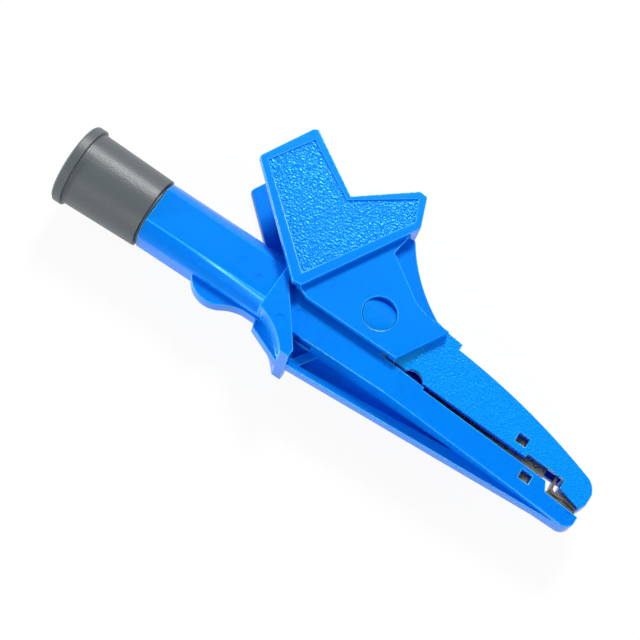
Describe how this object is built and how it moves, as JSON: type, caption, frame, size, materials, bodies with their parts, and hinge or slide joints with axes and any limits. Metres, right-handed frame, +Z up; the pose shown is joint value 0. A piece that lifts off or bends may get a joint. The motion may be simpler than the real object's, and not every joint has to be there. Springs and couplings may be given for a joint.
{
  "type": "insulated crocodile clip",
  "caption": "Insulated crocodile clip with a sprung thumb lever, toothed metal contacts in slim jaws and a shrouded rear socket for a test lead",
  "frame": {"origin": "On the rear socket's axis, at the mouth of the grey sleeve", "axes": "+X runs from the socket mouth to the jaw tips, +Y points to the thumb lever, +Z points up with the clip lying on its side; the clip is symmetric about Z = 0 apart from the return spring's coil"},
  "size_m": [0.0958, 0.034, 0.016],
  "materials": {
    "blue_plastic": "glossy polyamide, fine grain on the grip panels",
    "grey_plastic": "satin",
    "plated_socket": "nickel plated",
    "contact_metal": "nickel plated sheet",
    "spring_steel": "drawn wire"
  },
  "bodies": {
    "body": {"lower_body": "blue_plastic", "rear_sleeve": "grey_plastic", "socket_tube": "plated_socket", "contact_rivet": "contact_metal", "lower_contact": "contact_metal", "torsion_spring": "spring_steel"},
    "lever": {"thumb_lever": "blue_plastic", "upper_contact": "contact_metal"}
  },
  "joints": [
    {"name": "jaw_hinge", "type": "hinge", "parent": "body", "child": "lever", "pos_m": [0.0534, 0.00445, 0], "axis": [0, 0, 1], "range_deg": [0, 28], "stiffness_Nm_per_rad": 0.13, "springref_deg": -40.11, "deforming": ["torsion_spring"]}
  ]
}
